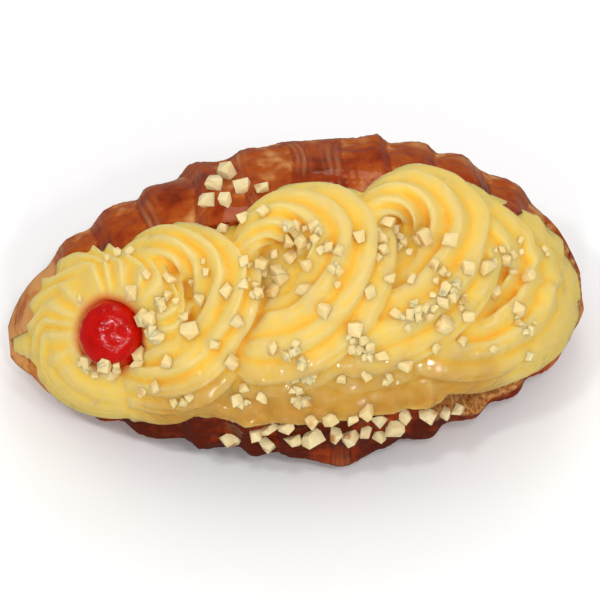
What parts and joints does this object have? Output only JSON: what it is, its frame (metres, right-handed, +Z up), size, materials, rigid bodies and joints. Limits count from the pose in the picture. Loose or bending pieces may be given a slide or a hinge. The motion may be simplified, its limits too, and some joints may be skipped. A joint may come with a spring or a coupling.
{
  "type": "cream-filled croissant",
  "caption": "Croissant split along its front and filled with ribbed swirls of piped custard cream, topped with a candied cherry and chopped nuts.",
  "frame": {"origin": "middle of the whole object's box in plan, on the surface it rests on", "axes": "+X along the croissant from the cherry end to the plain end, +Y from the open front to the closed back, +Z up"},
  "size_m": [0.1714, 0.0988, 0.0853],
  "materials": {
    "crust": null,
    "cream": null,
    "cherry": null
  },
  "bodies": {
    "root": {"croissant": "crust", "cream": "cream", "cherry": "cherry"}
  },
  "joints": []
}
